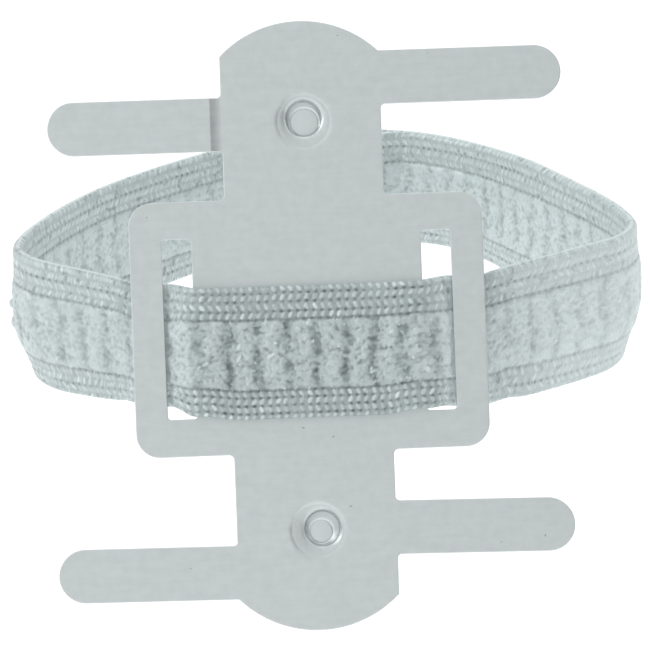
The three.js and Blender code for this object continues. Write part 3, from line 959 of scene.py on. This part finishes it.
def loop_pile(cloth, middle, side):
    """The looped middle of one face: its ground, with single loops strewn over it."""
    random = cloth.random
    low, high = sorted((side * PILE_BOTTOM, side * PILE_TOP))
    height = wrapped(cloth.around - middle, GIRTH)
    relief, tone = pile_ground(cloth, height, low, high)
    taken = (height > low - 0.2) & (height < high + 0.2) & (relief > cloth.relief)
    cloth.relief = np.where(taken, relief, cloth.relief)
    cloth.tone = np.where(taken, tone, cloth.tone)
    for density, length, width, peak in LOOPS:
        count = int(CLOTH_LENGTH * (high - low) * density)
        along = random.uniform(0, CLOTH_LENGTH, count)
        across = random.uniform(low + 0.2, high - 0.2, count)
        size = random.uniform(0.7, 1.3, (count, 3))
        lean = random.normal(pi / 2, 0.9, count)
        rows = np.round(along / ALONG).astype(int)
        columns = np.round((middle + across) / ACROSS).astype(int) % COLUMNS
        slack = cloth.slack[rows, 0]
        base = relief[rows, columns] - 0.01
        tones = tone[rows, columns] + random.normal(0.02, 0.05, count) * (1 + 0.6 * slack)
        # Painted glint: a few loops are made paler still.
        bright = random.uniform(0, 1, count) < PILE_TONE.bright_share
        tones += bright * relaxed(PILE_TONE.bright, slack)
        for k in range(count):
            cloth.stamp(along[k], middle + across[k], length * size[k, 0], width * size[k, 1], lean[k],
                        peak * size[k, 2] * (0.7 + 0.5 * slack[k]), tones[k], base[k])


def pull_tufts(cloth):
    for station, height, size, rise in TUFTS:
        cloth.stamp(station + LOOP_LENGTH - LAP_START, height, size, 0.8 * size, 0.4, rise,
                    PILE_TONE.plain, PILE.ground - 0.05)


def weave_cloth():
    cloth = Cloth(11)
    for middle, side in ((0.0, 1), (2 * RIM, -1)):
        lay_border_bed(cloth, middle, side)
        stitch_border(cloth, middle, side)
        loop_pile(cloth, middle, side)
    pull_tufts(cloth)
    return cloth


def lap_start(station):
    """0 where the lap's inner layer ends, 1 once it is at its full thickness."""
    return smoothstep(station, LAP_START, LAP_START + LAP_FEATHER.length)


def lap_step(station):
    """How far the inner layer of the lap is set in from the band's middle line."""
    ramp = smoothstep(station, LAP_START + LAP_LENGTH, LAP_START + LAP_LENGTH + LAP_RAMP)
    step = LAP_FEATHER.step + (LAP_STEP - LAP_FEATHER.step) * lap_start(station)
    return -step * (1 - ramp)


def cloth_surface(cloth):
    """Positions, depth, tone and flat places of every vertex of the band."""
    out, height, n_out, n_height = section(cloth.around * np.ones_like(cloth.along))
    station = LAP_START + cloth.along * np.ones_like(out)
    relief = soften(cloth.relief, 0.05, 0.06)
    ends = np.minimum(cloth.along, CLOTH_LENGTH - cloth.along)
    rounding = np.sqrt(1 - (1 - np.clip(ends / 0.3, 0, 1)) ** 2)
    thickness = (0.25 + 0.75 * rounding) * (
        LAP_FEATHER.press + (1 - LAP_FEATHER.press) * lap_start(station))
    out = (out + n_out * relief) * thickness
    height = height + n_height * relief
    placed = place_on_loop(station, out + lap_step(station), height)
    near = soften(relief, 0.22, 0.26)
    wide = soften(relief, 1.0, 1.0)
    centred = from_front(station)
    right = swell(centred, RIGHT_SIDE)
    calm = 1 - HOLLOW_SHADE.calm * right * smoothstep(n_out, *OUTER_FACE)
    contrast = relaxed(HOLLOW_SHADE.contrast, cloth.slack) * calm
    # depth is painted shade: low where the relief lies below its surroundings, and lowered further by
    # the shade field.
    depth = HOLLOW_SHADE.plain + contrast * ((relief - near) / HOLLOW_SHADE.near + (near - wide) / HOLLOW_SHADE.wide)
    depth = np.clip(depth, HOLLOW_SHADE.least, 1) * (1 - cloth.shade * calm)
    # Painted light: pale raises the tone on the inner face, on the right side and in the slots.
    slot = swell(np.abs(centred), SLOT_LIGHT) * np.where(centred > 0, SLOT_LIGHT.right, SLOT_LIGHT.left)
    pale = np.maximum(smoothstep(-n_out, *OUTER_FACE), np.maximum(right, slot))
    tone = CLOTH_TONE.plain + (cloth.tone - PILE_TONE.plain) * calm
    tone += CLOTH_TONE.right * right + CLOTH_TONE.pale * pale + CLOTH_TONE.relaxed * cloth.slack
    tone += relaxed(CLOTH_TONE.specks, cloth.slack) * cloth.grain(0.08, 0.1)
    flat = np.stack(np.broadcast_arrays(station, cloth.around, 0), axis=-1)
    return placed, depth, tone, flat


def end_cap(ring, flip):
    """Faces across one end of the band, in steps from its upper rim down to its lower one."""
    quarter = int(round(RIM / ACROSS))
    down = np.arange(COLUMNS // 2 + 1)
    outer, inner = ring[(quarter - down) % COLUMNS], ring[(quarter + down) % COLUMNS]
    for k in range(COLUMNS // 2):
        corners = [inner[k], inner[k + 1], outer[k + 1], outer[k]]
        face = [int(v) for i, v in enumerate(corners) if v not in corners[:i]]
        yield face[::-1] if flip else face


def band_piece(name, surface, start, end, material):
    """A closed length of band between two stations of the cloth."""
    placed, depth, tone, flat = surface
    first, last = (int(round((s - LAP_START) / ALONG)) for s in (start, end))
    window = slice(first, last + 1)
    index = np.arange((last - first + 1) * COLUMNS).reshape(-1, COLUMNS)
    right = np.roll(index, -1, axis=1)
    sides = np.stack([index[:-1], index[1:], right[1:], right[:-1]], axis=-1).reshape(-1, 4)
    faces = sides.tolist() + list(end_cap(index[0], False)) + list(end_cap(index[-1], True))
    mesh = bpy.data.meshes.new(name)
    mesh.from_pydata((placed[window].reshape(-1, 3) * MM).tolist(), [], faces)
    store(mesh, "flat", flat[window].reshape(-1, 3))
    store(mesh, "depth", depth[window].ravel())
    store(mesh, "tone", tone[window].ravel())
    smooth_mesh(mesh, 75)
    return new_piece(name, mesh, material)


def make_band(material):
    surface = cloth_surface(weave_cloth())
    length = LOOP_LENGTH
    run = band_piece("strap_front", surface, length - RUN_END, length + RUN_END, material)
    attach(run, "buckle")
    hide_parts("band_front_run")
    for side, name in ((-1, "left"), (1, "right")):
        start, middle, end = (length + side * s for s in (RUN_END, CORNER_END, SIDE_END))
        corner = band_piece("strap_corner_" + name, surface, *sorted((start, middle)), material)
        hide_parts("band_corner_" + name)
        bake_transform(corner)
        flank = band_piece("strap_side_" + name, surface, *sorted((middle, end)), material)
        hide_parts("band_side_" + name)
        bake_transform(flank)
    halves = (("left", LAP_START, length - SIDE_END),
              ("right", length + SIDE_END, LAP_START + CLOTH_LENGTH))
    for name, start, end in halves:
        back = band_piece("strap_back_" + name, surface, start, end, material)
        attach(back, "band_back")
        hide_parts("band_back_" + name)


# ---------- the seam

SEAM = Group(pitch=2.0, height=9.0, margin=3.5, radius=0.17, arch=0.2, sides=10, steps=20,
             twist=0.14, twist_pitch=0.55, skin=0.12)


def seam_leg(start, end, side):
    """One stitch of the zigzag: a twisted thread that rises out of the cloth and goes back in."""
    share = np.linspace(0, 1, SEAM.steps + 1)[:, None]
    turn = np.linspace(0, 2 * pi, SEAM.sides, endpoint=False)[None, :]
    station = start[0] + (end[0] - start[0]) * share
    height = start[1] + (end[1] - start[1]) * share
    length = hypot(end[0] - start[0], end[1] - start[1])
    across = np.array([end[1] - start[1], start[0] - end[0]]) / length
    twist = 1 + SEAM.twist * np.cos(2 * turn - 2 * pi * share * length / SEAM.twist_pitch)
    radius = SEAM.radius * twist * np.sqrt(np.clip(1.02 - (2 * share - 1) ** 8, 0.02, 1))
    lift = HALF_THICK + SEAM.skin + SEAM.arch * np.sin(pi * share) ** 0.5
    middle = 0.0 if side > 0 else -LAP_STEP
    spots = station + radius * np.cos(turn) * across[0]
    heights = height + radius * np.cos(turn) * across[1]
    out = middle + side * (lift + radius * np.sin(turn))
    placed = place_on_loop(spots, out, heights)
    flat = np.stack(np.broadcast_arrays(share * length, turn, 0), axis=-1)
    return placed.reshape(-1, 3), flat.reshape(-1, 3)


def make_seam(material):
    """Zigzag thread over both faces of the lap."""
    first, last = LAP_START + SEAM.margin, LAP_START + LAP_LENGTH - SEAM.margin
    corners = int(round((last - first) / (SEAM.pitch / 2)))
    path = [(first + (last - first) * k / corners, SEAM.height / 2 * (-1) ** k)
            for k in range(corners + 1)]
    rings, sides = SEAM.steps + 1, SEAM.sides
    for side, name in ((-1, "inner"), (1, "outer")):
        points, flats, faces = [], [], []
        for start, end in zip(path, path[1:]):
            base = len(points)
            placed, flat = seam_leg(start, end, side)
            points.extend(placed * MM)
            flats.extend(flat)
            faces.extend(strip_faces(base, rings, sides))
            for ring in (base, base + (rings - 1) * sides):
                faces.append(tuple(range(ring, ring + sides)))
        mesh = outward_mesh("seam_" + name, [tuple(p) for p in points], faces)
        store(mesh, "flat", np.array(flats))
        smooth_mesh(mesh, 60)
        piece = new_piece("seam_" + name, mesh, material)
        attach(piece, "band_back")
        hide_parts("lap_stitch_" + name)


# ---------- assembly

make_camera()
make_stage()
make_buckle(steel_material())
make_studs(stud_material())
make_band(cloth_material())
make_seam(thread_material())
